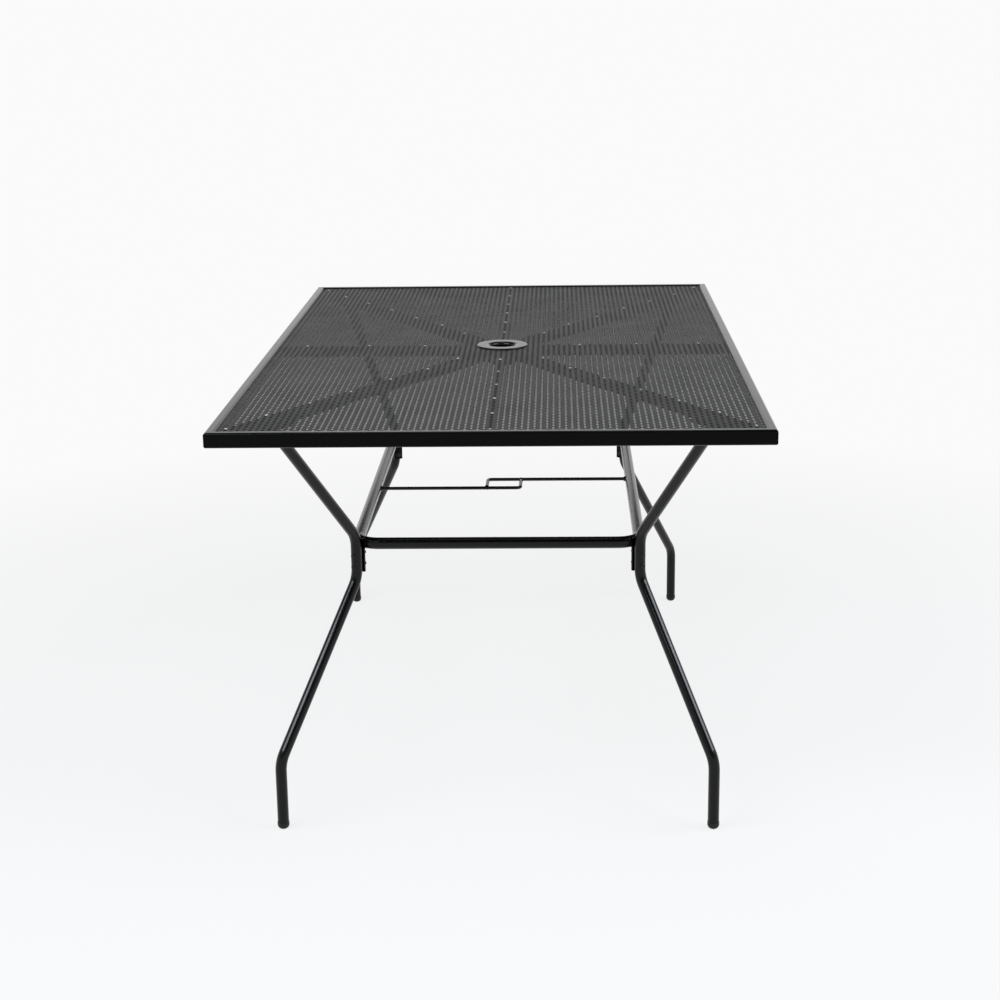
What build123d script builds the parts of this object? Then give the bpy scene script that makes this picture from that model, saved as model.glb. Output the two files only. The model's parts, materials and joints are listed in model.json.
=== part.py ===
from build123d import *
import math
import os

os.makedirs("parts", exist_ok=True)

# Overall size of the table, in millimetres: length along Y, width along X, standing on Z = 0
table_length = 1500.0
table_width = 900.0
table_height = 730.0

# Rim: four mitred rails of rounded rectangular tube
rim_width = 16.0
rim_height = 25.0
rim_wall = 1.2
rim_edge_radius = 4.0

# Perforated sheet, sunk a little below the top of the rim. A coarse grid of round openings stands
# for its thousands of small holes, and leaves the same share of the sheet open.
panel_recess = 2.2
panel_thickness = 1.2
panel_edge_gap = 0.2
perforation_columns = 8
perforation_rows = 12
perforation_open_share = 0.31

# Braces under the sheet: eight spokes of rectangular tube
brace_width = 16.0
brace_height = 18.0
brace_wall = 1.2
brace_edge_radius = 1.5
brace_spread_gap = 2.5

# Umbrella hub in the middle of the top
umbrella_bore = 48.0
sleeve_wall = 2.0
sleeve_drop = 12.0
hub_plate_diameter = 130.0
hub_plate_thickness = 3.0
hub_fit_gap = 0.2
ring_diameter = 98.0
ring_thickness = 2.0
ring_bore_step = 0.5
ring_edge_radius = 1.2

# Round tube of the legs, and the slightly thicker tube of the loop at the waist
tube_diameter = 19.5
loop_tube_diameter = 21.0
tube_wall = 1.2

# Legs: each lies in the upright plane through the table's centre and one corner of the rim.
# Insets are measured along that diagonal, inwards from the rim's inner corner.
foot_inset = 125.0
waist_inset = 360.0
leg_top_inset = 142.0
foot_bend_height = 123.0
leg_bend_radius = 45.0

# Foot plugs
foot_cap_lip = 0.5
foot_cap_height = 13.0
foot_cap_round = 8.0
foot_cap_stem = 18.0
foot_cap_fit_gap = 0.1

# Plates on the tops of the legs, bolted up into the diagonal braces
top_plate_length = 104.0
top_plate_width = 30.0
top_plate_thickness = 3.0
top_plate_corner_radius = 5.0
top_bolt_spacing = 76.0

# Loop at the waist: two bent end stretchers joined by two straight side tubes.
# The legs run upright past it, from a little below its axis to a little above.
loop_height = 450.0
waist_drop = 60.0
waist_rise = 16.0
loop_bend_radius = 40.0
loop_bend_run = 4.0
spigot_length = 25.0
spigot_wall = 1.2
spigot_shoulder = 2.0
spigot_fit_gap = 0.1
seam_gap = 0.3

# Corner plates between the loop's bends and the legs
corner_plate_width = 20.0
corner_plate_thickness = 3.0
corner_plate_rise = 10.0
corner_plate_margin = 12.0
corner_plate_radius = 1.5
weld_gap = 0.1

# Hooked rods that close round the umbrella pole
rod_diameter = 6.5
guide_offset = 33.0
guide_bend_radius = 9.0
guide_gap = 0.2
rod_weld = 4.0

# Bolts and nuts
bolt_diameter = 6.0
bolt_hole_gap = 0.2
nut_flats = 10.0
nut_height = 5.0
bolt_head_height = 4.0
top_bolt_tail = 3.0
waist_bolt_tail = 7.0
dome_head_diameter = 9.0
dome_head_height = 1.6
dome_head_round = 1.2
waist_bolt_drop = 18.5
waist_bolt_pitch = 20.5

# Heights and plan sizes that follow from the sizes above
half_width = table_width / 2
half_length = table_length / 2
opening_half_width = half_width - rim_width
opening_half_length = half_length - rim_width
rim_centre_height = table_height - rim_height / 2
panel_top = table_height - panel_recess
panel_bottom = panel_top - panel_thickness
brace_bottom = panel_bottom - brace_height
hub_plate_bottom = brace_bottom - hub_plate_thickness
leg_top = brace_bottom - top_plate_thickness
sleeve_bottom = hub_plate_bottom - sleeve_drop
sleeve_bore_radius = umbrella_bore / 2
sleeve_radius = sleeve_bore_radius + sleeve_wall
hub_hole_radius = sleeve_radius + hub_fit_gap
tube_radius = tube_diameter / 2
tube_bore_radius = tube_radius - tube_wall
loop_tube_radius = loop_tube_diameter / 2
loop_bore_radius = loop_tube_radius - tube_wall
rod_radius = rod_diameter / 2
bolt_radius = bolt_diameter / 2
bolt_hole_radius = bolt_radius + bolt_hole_gap
nut_radius = nut_flats / 2 / math.cos(math.pi / 6)

# The diagonal of the top, from the centre to the inner corner of the rim
diagonal_reach = math.hypot(opening_half_width, opening_half_length)
diagonal_angle = math.degrees(math.atan2(opening_half_length, opening_half_width))
foot_reach = diagonal_reach - foot_inset
waist_reach = diagonal_reach - waist_inset
leg_top_reach = diagonal_reach - leg_top_inset
waist_low_height = loop_height - waist_drop
waist_high_height = loop_height + waist_rise
waist_bolt_high = loop_height - waist_bolt_drop
waist_bolt_low = waist_bolt_high - waist_bolt_pitch
waist_bolt_heights = (waist_bolt_low, waist_bolt_high)
corner_plate_bottom = waist_bolt_low - corner_plate_margin
corner_plate_top = loop_height + corner_plate_rise
corner_plate_height = corner_plate_top - corner_plate_bottom
corner_plate_middle = (corner_plate_top + corner_plate_bottom) / 2

# The spokes stop where the two that lie closest in angle stand clear of each other
closest_half_angle = math.radians(min(90 - diagonal_angle, diagonal_angle)) / 2
brace_stop_radius = brace_width / 2 / math.sin(closest_half_angle) + brace_spread_gap

# The loop's side tubes stand in line with the legs' waists. Its length follows from
# nesting: along the diagonal come the bend's outer side, the corner plate and the leg.
diagonal_x = math.cos(math.radians(diagonal_angle))
diagonal_y = math.sin(math.radians(diagonal_angle))
plate_outer_reach = waist_reach - tube_radius - weld_gap
plate_inner_reach = plate_outer_reach - corner_plate_thickness
loop_bend_reach = plate_inner_reach - weld_gap - loop_tube_radius - loop_bend_radius
loop_x = waist_reach * diagonal_x
loop_y = (loop_bend_reach - (loop_x - loop_bend_radius) * diagonal_x) / diagonal_y + loop_bend_radius
seam_y = loop_y - loop_bend_radius - loop_bend_run
spigot_radius = loop_bore_radius - spigot_fit_gap

corners = {
    "front_left": (-1, -1),
    "front_right": (1, -1),
    "rear_left": (-1, 1),
    "rear_right": (1, 1),
}
top_bolt_reaches = (leg_top_reach - top_bolt_spacing / 2, leg_top_reach + top_bolt_spacing / 2)


def outward(corner):
    """Unit vector from the table's centre towards a corner, in plan."""
    sign_x, sign_y = corners[corner]
    return Vector(sign_x * diagonal_x, sign_y * diagonal_y, 0)


def leg_plane(corner):
    """Upright plane of a leg: X runs out along the diagonal and Y runs up."""
    out = outward(corner)
    return Plane(origin=(0, 0, 0), x_dir=out, z_dir=out.cross(Vector(0, 0, 1)))


def facing_out(corner, reach, height):
    """Upright plane across a diagonal, facing outwards, with its Y axis up."""
    out = outward(corner)
    return Plane(origin=out * reach + Vector(0, 0, height), x_dir=Vector(0, 0, 1).cross(out), z_dir=out)


def level_at(corner, reach, height):
    """Level plane over a point of a diagonal, with its X axis along that diagonal."""
    out = outward(corner)
    return Plane(origin=out * reach + Vector(0, 0, height), x_dir=out, z_dir=(0, 0, 1))


def save(piece, name):
    """Name a finished piece and write it as one file."""
    piece.label = name
    export_step(piece, f"parts/{name}.step")


# Rim rails, mitred at the corners
rim_sides = {
    "front": (Vector(1, 0, 0), Vector(0, 1, 0), half_width, half_length),
    "rear": (Vector(1, 0, 0), Vector(0, -1, 0), half_width, half_length),
    "left": (Vector(0, 1, 0), Vector(1, 0, 0), half_length, half_width),
    "right": (Vector(0, 1, 0), Vector(-1, 0, 0), half_length, half_width),
}
for side, (along, inward, half_run, half_across) in rim_sides.items():
    rail_centre = inward * (rim_width / 2 - half_across) + Vector(0, 0, rim_centre_height)
    with BuildPart() as rim:
        with BuildSketch(Plane(origin=rail_centre, x_dir=inward, z_dir=along)):
            RectangleRounded(rim_width, rim_height, rim_edge_radius)
            RectangleRounded(
                rim_width - 2 * rim_wall,
                rim_height - 2 * rim_wall,
                rim_edge_radius - rim_wall,
                mode=Mode.SUBTRACT,
            )
        extrude(amount=half_run, both=True)
        for end in (-1, 1):
            mitre_corner = along * (end * half_run) - inward * half_across
            split(bisect_by=Plane(origin=mitre_corner, z_dir=along * end + inward), keep=Keep.BOTTOM)
    save(rim.part, f"rim_{side}")

# Top sheet with its grid of openings. The ones that would come under the trim ring are left out.
panel_width = 2 * (opening_half_width - panel_edge_gap)
panel_length = 2 * (opening_half_length - panel_edge_gap)
column_pitch = panel_width / perforation_columns
row_pitch = panel_length / perforation_rows
perforation_radius = math.sqrt(perforation_open_share * column_pitch * row_pitch / math.pi)
perforation_places = [
    place.position
    for place in GridLocations(column_pitch, row_pitch, perforation_columns, perforation_rows)
    if place.position.length > ring_diameter / 2 + perforation_radius
]
with BuildPart() as mesh_panel:
    with BuildSketch(Plane.XY.offset(panel_bottom)):
        Rectangle(panel_width, panel_length)
        Circle(hub_hole_radius, mode=Mode.SUBTRACT)
        with Locations(*perforation_places):
            Circle(perforation_radius, mode=Mode.SUBTRACT)
    extrude(amount=panel_thickness)
save(mesh_panel.part, "mesh_panel")

# Brace spokes, cut to the inside of the rim; the diagonal ones carry the legs' bolts
brace_angles = {
    "brace_right": 0.0,
    "brace_rear": 90.0,
    "brace_left": 180.0,
    "brace_front": 270.0,
    "brace_rear_right": diagonal_angle,
    "brace_rear_left": 180.0 - diagonal_angle,
    "brace_front_left": 180.0 + diagonal_angle,
    "brace_front_right": 360.0 - diagonal_angle,
}
for name, angle in brace_angles.items():
    corner = name.removeprefix("brace_")
    with BuildPart() as brace:
        with BuildSketch(Plane.XY.offset(brace_bottom)):
            Rectangle(table_length, brace_width, rotation=angle, align=(Align.MIN, Align.CENTER))
            Rectangle(2 * opening_half_width, 2 * opening_half_length, mode=Mode.INTERSECT)
            Circle(brace_stop_radius, mode=Mode.SUBTRACT)
        extrude(amount=brace_height)
        long_edges = [e for e in brace.edges().filter_by(GeomType.LINE) if e.length > 2 * brace_height]
        fillet(long_edges, brace_edge_radius)
        with BuildSketch(Plane.XY.offset(brace_bottom + brace_wall)):
            Rectangle(
                table_length,
                brace_width - 2 * brace_wall,
                rotation=angle,
                align=(Align.MIN, Align.CENTER),
            )
        extrude(amount=brace_height - 2 * brace_wall, mode=Mode.SUBTRACT)
        if corner in corners:
            for reach in top_bolt_reaches:
                with BuildSketch(level_at(corner, reach, brace_bottom)):
                    Circle(bolt_hole_radius)
                extrude(amount=brace_wall, mode=Mode.SUBTRACT)
    save(brace.part, name)

# Hub under the sheet: a plate that joins the spokes, and the sleeve for the umbrella pole
with BuildPart() as hub_plate:
    with BuildSketch(Plane.XY.offset(hub_plate_bottom)):
        Circle(hub_plate_diameter / 2)
        Circle(hub_hole_radius, mode=Mode.SUBTRACT)
    extrude(amount=hub_plate_thickness)
save(hub_plate.part, "hub_plate")

with BuildPart() as umbrella_sleeve:
    with BuildSketch(Plane.XY.offset(sleeve_bottom)):
        Circle(sleeve_radius)
        Circle(sleeve_bore_radius, mode=Mode.SUBTRACT)
    extrude(amount=panel_top - sleeve_bottom)
save(umbrella_sleeve.part, "umbrella_sleeve")

# Trim ring round the umbrella hole, lying on the sheet
with BuildPart() as umbrella_ring:
    with BuildSketch(Plane.XY.offset(panel_top)):
        Circle(ring_diameter / 2)
        Circle(sleeve_bore_radius + ring_bore_step, mode=Mode.SUBTRACT)
    extrude(amount=ring_thickness)
    fillet(umbrella_ring.edges().group_by(Axis.Z)[-1], ring_edge_radius)
save(umbrella_ring.part, "umbrella_ring")

# Legs: one bent tube each, from the foot plug in to the waist and out again under a brace.
# The route runs on past the leg's top, where the tube is cut off level.
leg_rise_per_reach = (leg_top - waist_high_height) / (leg_top_reach - waist_reach)
leg_trim = tube_diameter
leg_route = (
    (foot_reach, foot_cap_height),
    (foot_reach, foot_bend_height),
    (waist_reach, waist_low_height),
    (waist_reach, waist_high_height),
    (leg_top_reach + leg_trim, leg_top + leg_trim * leg_rise_per_reach),
)
for corner in corners:
    with BuildPart() as leg:
        with BuildLine(leg_plane(corner)) as leg_path:
            FilletPolyline(*leg_route, radius=leg_bend_radius)
        with BuildSketch(Plane(origin=leg_path.line @ 0, z_dir=leg_path.line % 0)):
            Circle(tube_radius)
            Circle(tube_bore_radius, mode=Mode.SUBTRACT)
        sweep()
        split(bisect_by=Plane.XY.offset(leg_top), keep=Keep.BOTTOM)
        for height in waist_bolt_heights:
            with BuildSketch(facing_out(corner, waist_reach, height)):
                Circle(bolt_hole_radius)
            extrude(amount=tube_diameter, both=True, mode=Mode.SUBTRACT)
    save(leg.part, f"leg_{corner}")

# Foot plugs, pushed into the lower ends of the legs
for corner in corners:
    with BuildPart() as foot_cap:
        with BuildSketch(level_at(corner, foot_reach, 0)):
            Circle(tube_radius + foot_cap_lip)
        extrude(amount=foot_cap_height)
        fillet(foot_cap.edges().group_by(Axis.Z)[0], foot_cap_round)
        with BuildSketch(level_at(corner, foot_reach, foot_cap_height)):
            Circle(tube_bore_radius - foot_cap_fit_gap)
        extrude(amount=foot_cap_stem)
    save(foot_cap.part, f"foot_cap_{corner}")

# Plates on the tops of the legs
for corner in corners:
    with BuildPart() as top_plate:
        with BuildSketch(level_at(corner, leg_top_reach, leg_top)):
            RectangleRounded(top_plate_length, top_plate_width, top_plate_corner_radius)
            with Locations((-top_bolt_spacing / 2, 0), (top_bolt_spacing / 2, 0)):
                Circle(bolt_hole_radius, mode=Mode.SUBTRACT)
        extrude(amount=top_plate_thickness)
    save(top_plate.part, f"leg_top_plate_{corner}")

# End stretchers of the loop, with necked ends that slip into the side tubes
for end, sign in (("front", -1), ("rear", 1)):
    with BuildPart() as stretcher:
        with BuildLine(Plane.XY.offset(loop_height)) as stretcher_path:
            FilletPolyline(
                (-loop_x, sign * seam_y),
                (-loop_x, sign * loop_y),
                (loop_x, sign * loop_y),
                (loop_x, sign * seam_y),
                radius=loop_bend_radius,
            )
        with BuildSketch(Plane(origin=stretcher_path.line @ 0, z_dir=stretcher_path.line % 0)):
            Circle(loop_tube_radius)
            Circle(loop_bore_radius, mode=Mode.SUBTRACT)
        sweep()
        for side in (-1, 1):
            tube_end = Plane(origin=(side * loop_x, sign * seam_y, loop_height), z_dir=(0, -sign, 0))
            with BuildSketch(tube_end):
                Circle(loop_tube_radius)
                Circle(spigot_radius - spigot_wall, mode=Mode.SUBTRACT)
            extrude(amount=-spigot_shoulder)
            with BuildSketch(tube_end):
                Circle(spigot_radius)
                Circle(spigot_radius - spigot_wall, mode=Mode.SUBTRACT)
            extrude(amount=spigot_length)
    save(stretcher.part, f"end_stretcher_{end}")

# Side tubes of the loop
for side, sign in (("left", -1), ("right", 1)):
    with BuildPart() as side_tube:
        with BuildSketch(Plane(origin=(sign * loop_x, 0, loop_height), z_dir=(0, 1, 0))):
            Circle(loop_tube_radius)
            Circle(loop_bore_radius, mode=Mode.SUBTRACT)
        extrude(amount=seam_y - seam_gap, both=True)
    save(side_tube.part, f"side_tube_{side}")

# Corner plates, welded to the loop's bends and bolted to the waists of the legs
for corner in corners:
    with BuildPart() as corner_plate:
        with BuildSketch(facing_out(corner, plate_inner_reach, corner_plate_middle)):
            RectangleRounded(corner_plate_width, corner_plate_height, corner_plate_radius)
            with Locations(*[(0, height - corner_plate_middle) for height in waist_bolt_heights]):
                Circle(bolt_hole_radius, mode=Mode.SUBTRACT)
        extrude(amount=corner_plate_thickness)
    save(corner_plate.part, f"corner_plate_{corner}")

# Pole guides: each rod is welded to one side tube, and its hook closes on the other rod.
# The two are alike, turned half a turn about the pole.
guide_end = guide_offset - rod_radius - guide_gap
weld_start = loop_x - loop_tube_radius + rod_weld
for side, sign in (("left", -1), ("right", 1)):
    out = Vector(sign, 0, 0)
    along = Vector(0, sign, 0)
    tube_centre = out * loop_x + Vector(0, 0, loop_height)
    weld_centre = out * weld_start + along * guide_offset + Vector(0, 0, loop_height)
    with BuildPart() as guide:
        with BuildLine(Plane(origin=(0, 0, loop_height), x_dir=out, z_dir=(0, 0, 1))) as guide_path:
            FilletPolyline(
                (weld_start, guide_offset),
                (-guide_offset, guide_offset),
                (-guide_offset, -guide_end),
                radius=guide_bend_radius,
            )
        with BuildSketch(Plane(origin=weld_centre, x_dir=along, z_dir=-out)):
            Circle(rod_radius)
        sweep()
        with BuildSketch(Plane(origin=weld_centre, x_dir=along, z_dir=-out)):
            Circle(rod_radius + rod_weld)
        with BuildSketch(Plane(origin=weld_centre - out * (2 * rod_weld), x_dir=along, z_dir=-out)):
            Circle(rod_radius)
        loft()
        with BuildSketch(Plane(origin=tube_centre, x_dir=out, z_dir=along)):
            Circle(loop_tube_radius + weld_gap)
        extrude(amount=seam_y, both=True, mode=Mode.SUBTRACT)
    save(guide.part, f"pole_guide_{side}")

# Waist bolts: domed heads on the outside of the legs, shanks through leg and corner plate
nut_outer_reach = plate_inner_reach
nut_inner_reach = nut_outer_reach - nut_height
waist_shank_start = nut_inner_reach - waist_bolt_tail
waist_shank_end = waist_reach + tube_radius + dome_head_height / 2
with BuildPart() as waist_bolts:
    for corner in corners:
        for height in waist_bolt_heights:
            with BuildSketch(facing_out(corner, waist_reach + tube_bore_radius, height)):
                Circle(dome_head_diameter / 2)
            extrude(amount=tube_wall + dome_head_height)
            head_rim = waist_bolts.edges(Select.LAST).sort_by(Axis((0, 0, 0), outward(corner)))[-1]
            fillet(head_rim, dome_head_round)
    for corner in corners:
        with BuildLine(leg_plane(corner)) as seat_path:
            FilletPolyline(*leg_route, radius=leg_bend_radius)
        with BuildSketch(Plane(origin=seat_path.line @ 0, z_dir=seat_path.line % 0)):
            Circle(tube_radius + weld_gap)
        sweep(mode=Mode.SUBTRACT)
    for corner in corners:
        for height in waist_bolt_heights:
            with BuildSketch(facing_out(corner, waist_shank_start, height)):
                Circle(bolt_radius)
            extrude(amount=waist_shank_end - waist_shank_start)
save(waist_bolts.part, "waist_bolts")

with BuildPart() as waist_nuts:
    for corner in corners:
        for height in waist_bolt_heights:
            with BuildSketch(facing_out(corner, nut_inner_reach, height)):
                RegularPolygon(radius=nut_radius, side_count=6)
                Circle(bolt_radius, mode=Mode.SUBTRACT)
            extrude(amount=nut_height)
save(waist_nuts.part, "waist_nuts")

# Top bolts: hexagon heads under the leg plates, nuts held inside the diagonal braces
top_nut_seat = brace_bottom + brace_wall
with BuildPart() as top_bolts:
    for corner in corners:
        for reach in top_bolt_reaches:
            with BuildSketch(level_at(corner, reach, leg_top - bolt_head_height)):
                RegularPolygon(radius=nut_radius, side_count=6)
            extrude(amount=bolt_head_height)
            with BuildSketch(level_at(corner, reach, leg_top)):
                Circle(bolt_radius)
            extrude(amount=top_nut_seat + nut_height + top_bolt_tail - leg_top)
save(top_bolts.part, "top_bolts")

with BuildPart() as top_nuts:
    for corner in corners:
        for reach in top_bolt_reaches:
            with BuildSketch(level_at(corner, reach, top_nut_seat)):
                RegularPolygon(radius=nut_radius, side_count=6)
                Circle(bolt_radius, mode=Mode.SUBTRACT)
            extrude(amount=nut_height)
save(top_nuts.part, "top_nuts")

print(f"loop {2 * loop_x:.1f} by {2 * loop_y:.1f}, waist at ({loop_x:.1f}, {waist_reach * diagonal_y:.1f})")
print(f"{len(perforation_places)} openings of {2 * perforation_radius:.1f} in the top sheet")
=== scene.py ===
# %% [markdown]
# # Dressing a black metal garden table
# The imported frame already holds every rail, tube, plate and bolt of the table at its real size. This lesson
# gives those parts their finish and adds what is better made as a mesh: the perforated top sheet, the
# umbrella ring, the welds and the nuts. Everything is in metres, with +Y along the table's length and the
# ground at zero.

# %% Load the frame
import json
import math

import bmesh
import bpy
from mathutils import Matrix, Vector


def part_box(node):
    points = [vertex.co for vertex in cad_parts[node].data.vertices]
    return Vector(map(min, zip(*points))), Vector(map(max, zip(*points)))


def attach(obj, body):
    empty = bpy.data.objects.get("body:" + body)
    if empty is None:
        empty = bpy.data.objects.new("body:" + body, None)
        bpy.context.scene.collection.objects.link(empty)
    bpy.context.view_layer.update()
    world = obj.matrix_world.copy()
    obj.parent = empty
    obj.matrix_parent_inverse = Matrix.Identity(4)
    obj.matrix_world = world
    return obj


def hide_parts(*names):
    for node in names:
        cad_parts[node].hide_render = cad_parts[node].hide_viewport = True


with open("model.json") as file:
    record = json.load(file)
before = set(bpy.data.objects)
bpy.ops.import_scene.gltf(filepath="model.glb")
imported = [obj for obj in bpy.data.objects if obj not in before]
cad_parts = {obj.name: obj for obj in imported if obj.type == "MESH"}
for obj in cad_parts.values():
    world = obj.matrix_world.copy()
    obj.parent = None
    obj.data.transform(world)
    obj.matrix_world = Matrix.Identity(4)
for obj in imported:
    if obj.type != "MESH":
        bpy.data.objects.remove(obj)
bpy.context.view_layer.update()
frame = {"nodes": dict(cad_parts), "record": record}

MM = 0.001

# %% [markdown]
# ## The sizes that later cells need
# A frame node can be asked for its box, so the sizes of the sheet, the braces and the waist are read from
# the frame instead of being typed again. The legs and the diagonal braces all lie in upright planes through
# the table's middle and the corners of the sheet.

# %% Read the sizes from the frame
sheet_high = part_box("mesh_panel")[1]
brace_low, brace_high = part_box("brace_front")
sleeve_low, sleeve_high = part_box("umbrella_sleeve")
hub_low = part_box("hub_plate")[0]
loop_low, loop_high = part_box("side_tube_left")
leg_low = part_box("leg_front_left")[0]
foot_low, foot_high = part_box("foot_cap_front_left")

sheet_half_width = sheet_high.x
sheet_half_length = sheet_high.y
brace_half_width = brace_high.x
loop_height = (loop_low.z + loop_high.z) / 2
loop_radius = (loop_high.z - loop_low.z) / 2
leg_radius = (foot_low.x + foot_high.x) / 2 - leg_low.x

CORNERS = {
    "front_left": (-1, -1),
    "front_right": (1, -1),
    "rear_left": (-1, 1),
    "rear_right": (1, 1),
}
rim_opening = Vector((sheet_half_width, sheet_half_length, 0))
diagonals = {name: Vector((sx * rim_opening.x, sy * rim_opening.y, 0)).normalized()
             for name, (sx, sy) in CORNERS.items()}
spokes = {
    "front": Vector((0, -1, 0)),
    "rear": Vector((0, 1, 0)),
    "left": Vector((-1, 0, 0)),
    "right": Vector((1, 0, 0)),
    **diagonals,
}
print("sheet", round(2 * sheet_half_width, 4), "by", round(2 * sheet_half_length, 4))
print("leg radius", round(leg_radius / MM, 2), "mm, loop radius", round(loop_radius / MM, 2), "mm")

# %% [markdown]
# ## Small helpers
# Every new piece is kept in the same way: it rides on the table's only body, and it may stand for a frame
# node, which is then hidden. Geometry Nodes trees are built by name, so that each tree reads like a recipe,
# and the finished geometry is turned into a plain mesh before the piece is kept.

# %% Helpers for pieces
def show(name, mesh):
    """Put a mesh into the scene as an object at the origin."""
    piece = bpy.data.objects.new(name, mesh)
    bpy.context.scene.collection.objects.link(piece)
    return piece


def keep(piece, slot, *stands_for):
    """Tie a finished piece to the table's body and hide the frame nodes that it stands for; the slot is not
    used.
    """
    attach(piece, "root")
    if stands_for:
        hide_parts(*stands_for)
    print("kept", piece.name, "with", len(piece.data.polygons), "faces")


def path_mesh(name, lines):
    """A mesh of open or closed runs of edges: each line is its points and whether it closes."""
    mesh = bpy.data.meshes.new(name)
    points, edges = [], []
    for line, closed in lines:
        first = len(points)
        points += [tuple(point) for point in line]
        edges += [(i, i + 1) for i in range(first, len(points) - 1)]
        if closed:
            edges.append((len(points) - 1, first))
    mesh.from_pydata(points, edges, [])
    return mesh


def full_turn(count):
    """Evenly spaced angles once round."""
    return [2 * math.pi * i / count for i in range(count)]


def quarter_turn(steps):
    """Evenly spaced angles from level to upright."""
    return [math.pi / 2 * i / steps for i in range(steps + 1)]


# %% Helpers for Geometry Nodes
SOCKET_KINDS = {
    int: "NodeSocketInt",
    float: "NodeSocketFloat",
    bpy.types.Material: "NodeSocketMaterial",
    bpy.types.Object: "NodeSocketObject",
}


def new_tree(name, sizes):
    """A tree with a geometry input, one named input for each size, and a geometry output."""
    tree = bpy.data.node_groups.new(name, "GeometryNodeTree")
    tree.interface.new_socket("Geometry", in_out="INPUT", socket_type="NodeSocketGeometry")
    for label, kind in sizes.items():
        tree.interface.new_socket(label, in_out="INPUT", socket_type=SOCKET_KINDS[kind])
    tree.interface.new_socket("Geometry", in_out="OUTPUT", socket_type="NodeSocketGeometry")
    return tree, tree.nodes.new("NodeGroupInput").outputs, tree.nodes.new("NodeGroupOutput").inputs


def place(tree, kind, settings=None, **inputs):
    """Add a node, set its options, and feed its inputs with links or plain values."""
    node = tree.nodes.new(kind)
    for option, value in (settings or {}).items():
        setattr(node, option, value)
    for label, value in inputs.items():
        socket = node.inputs[int(label[1:])] if label[1:].isdigit() else node.inputs[label.replace("_", " ")]
        if isinstance(value, bpy.types.NodeSocket):
            tree.links.new(value, socket)
        else:
            socket.default_value = value
    return node


def maths(tree, operation, first, second=0.0):
    """One Math node; returns its result."""
    node = place(tree, "ShaderNodeMath", {"operation": operation}, i0=first, i1=second)
    return node.outputs[0]


def grown(name, start_mesh, tree, **sizes):
    """Run a tree over a mesh and return the result as a plain mesh."""
    host = show(name + ".host", start_mesh)
    modifier = host.modifiers.new(tree.name, "NODES")
    modifier.node_group = tree
    for item in tree.interface.items_tree:
        label = item.name.replace(" ", "_")
        if item.in_out == "INPUT" and label in sizes:
            modifier[item.identifier] = sizes[label]
    depsgraph = bpy.context.evaluated_depsgraph_get()
    mesh = bpy.data.meshes.new_from_object(host.evaluated_get(depsgraph))
    mesh.name = name
    bpy.data.objects.remove(host)
    return mesh


# %% [markdown]
# ## Finish: satin black powder coat
# The steel is sprayed with black powder that melts into a skin. Seen straight on it is almost black, and at
# a flat angle it mirrors the bright room, which is why the tops of the rails look light grey. A dark
# specular tint gives just that: it dims the straight reflection and leaves the flat one bright. On the
# rails the tint is set far darker than on the tubes and the ring, though all are the one coat: this is
# painted shade, standing in for a dark room in front that the rails' faces would mirror. A real skin is
# never quite even: its gloss drifts a little, and close up it has a fine orange peel. A painted picture
# could not do this at every scale, so slow noise drives colour and roughness, and fine noise drives a
# shallow bump. The bent round tubes have a duller skin than the flat rails, and the umbrella ring a
# smoother one. The sheet's skin is the dullest: a lower index of refraction keeps its webs dark where they
# are seen less flatly, near the front.

# %% Helpers for finishes
def new_finish(name):
    """A material with nodes. Returns it with its tree, its shader and its object coordinates."""
    material = bpy.data.materials.new(name)
    material.use_nodes = True
    tree = material.node_tree
    where = place(tree, "ShaderNodeTexCoord").outputs["Object"]
    return material, tree, tree.nodes["Principled BSDF"], where


def noise(tree, where, scale, detail):
    """Soft noise over the surface, with its scale in lumps per metre."""
    return place(tree, "ShaderNodeTexNoise", Vector=where, Scale=scale, Detail=detail).outputs["Fac"]


def two_tone(tree, shader, share, first, second):
    """Colour the shader with a mix of two colours."""
    tone = place(tree, "ShaderNodeMix", {"data_type": "RGBA"}, i0=share, i6=(*first, 1), i7=(*second, 1))
    tree.links.new(tone.outputs[2], shader.inputs["Base Color"])


# %% Powder coat
gloss_patches = 14.0
gloss_detail = 3.0
peel_detail = 1.0
peel_strength = 0.3


def powder_coat(name, dark, light, roughness, drift, peel_size, peel_depth, tint, index=1.5):
    """A near-black coat whose gloss drifts slowly and whose skin has a fine peel."""
    material, tree, shader, where = new_finish(name)
    shader.inputs["Specular Tint"].default_value = (tint, tint, tint, 1)
    shader.inputs["IOR"].default_value = index
    slow = noise(tree, where, gloss_patches, gloss_detail)
    two_tone(tree, shader, slow, dark, light)
    gloss = place(tree, "ShaderNodeMapRange", Value=slow, To_Min=roughness - drift, To_Max=roughness + drift)
    tree.links.new(gloss.outputs[0], shader.inputs["Roughness"])
    peel = noise(tree, where, 1 / peel_size, peel_detail)
    bump = place(tree, "ShaderNodeBump", Height=peel, Strength=peel_strength, Distance=peel_depth)
    tree.links.new(bump.outputs[0], shader.inputs["Normal"])
    print("finish", name, "roughness", roughness)
    return material


coat_dark = (0.0012, 0.0012, 0.0014)
coat_light = (0.0024, 0.0024, 0.0027)
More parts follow.
